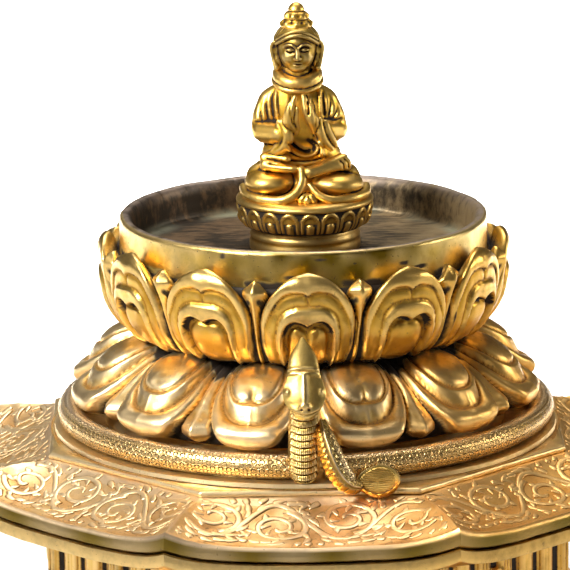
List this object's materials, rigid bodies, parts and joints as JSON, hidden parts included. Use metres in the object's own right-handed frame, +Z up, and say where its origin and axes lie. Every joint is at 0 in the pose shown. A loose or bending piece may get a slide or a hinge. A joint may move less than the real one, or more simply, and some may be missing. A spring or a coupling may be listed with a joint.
{
  "type": "stupa",
  "caption": "Gilt copper lotus stupa on an eight-sided throne, its dome lifted off, with a snake around the lotus and a seated figure in the open drum.",
  "frame": {"origin": "centre of the flat underside, where the part stands", "axes": "+Z up along the stupa's axis, -Y towards the facet with the snake's head, +X to that facet's right"},
  "size_m": [0.3104, 0.3104, 0.3065],
  "materials": {
    "gilt": "polished fire gilding over copper, darker and olive in the hollows",
    "worn_gilt": "worn, paler gilding that shows the pinkish copper beneath",
    "patina": "gilt outside, and dull grey-brown bare copper with a little verdigris inside",
    "figure_gilt": "bright gilding, dark in the folds"
  },
  "bodies": {
    "root": {"base_plate": "worn_gilt", "foot_plate": "worn_gilt", "lower_cove": "worn_gilt", "wall_front": "gilt", "wall_front_right": "gilt", "wall_right": "gilt", "wall_back_right": "gilt", "wall_back": "gilt", "wall_back_left": "gilt", "wall_left": "gilt", "wall_front_left": "gilt", "upper_cove": "gilt", "upper_plate": "gilt", "eave": "worn_gilt", "platform": "worn_gilt", "snake_seat": "worn_gilt", "lotus_foot": "gilt", "lower_lotus": "worn_gilt", "lotus_waist": "gilt", "upper_lotus": "gilt", "bowl": "patina", "snake_body": "gilt", "snake_neck": "gilt", "snake_head": "gilt", "snake_tail": "gilt", "snake_tail_leaf": "gilt", "pedestal_foot": "figure_gilt", "pedestal_lotus": "figure_gilt", "figure_body": "figure_gilt", "figure_head": "figure_gilt", "figure_topknot": "figure_gilt"}
  },
  "joints": []
}
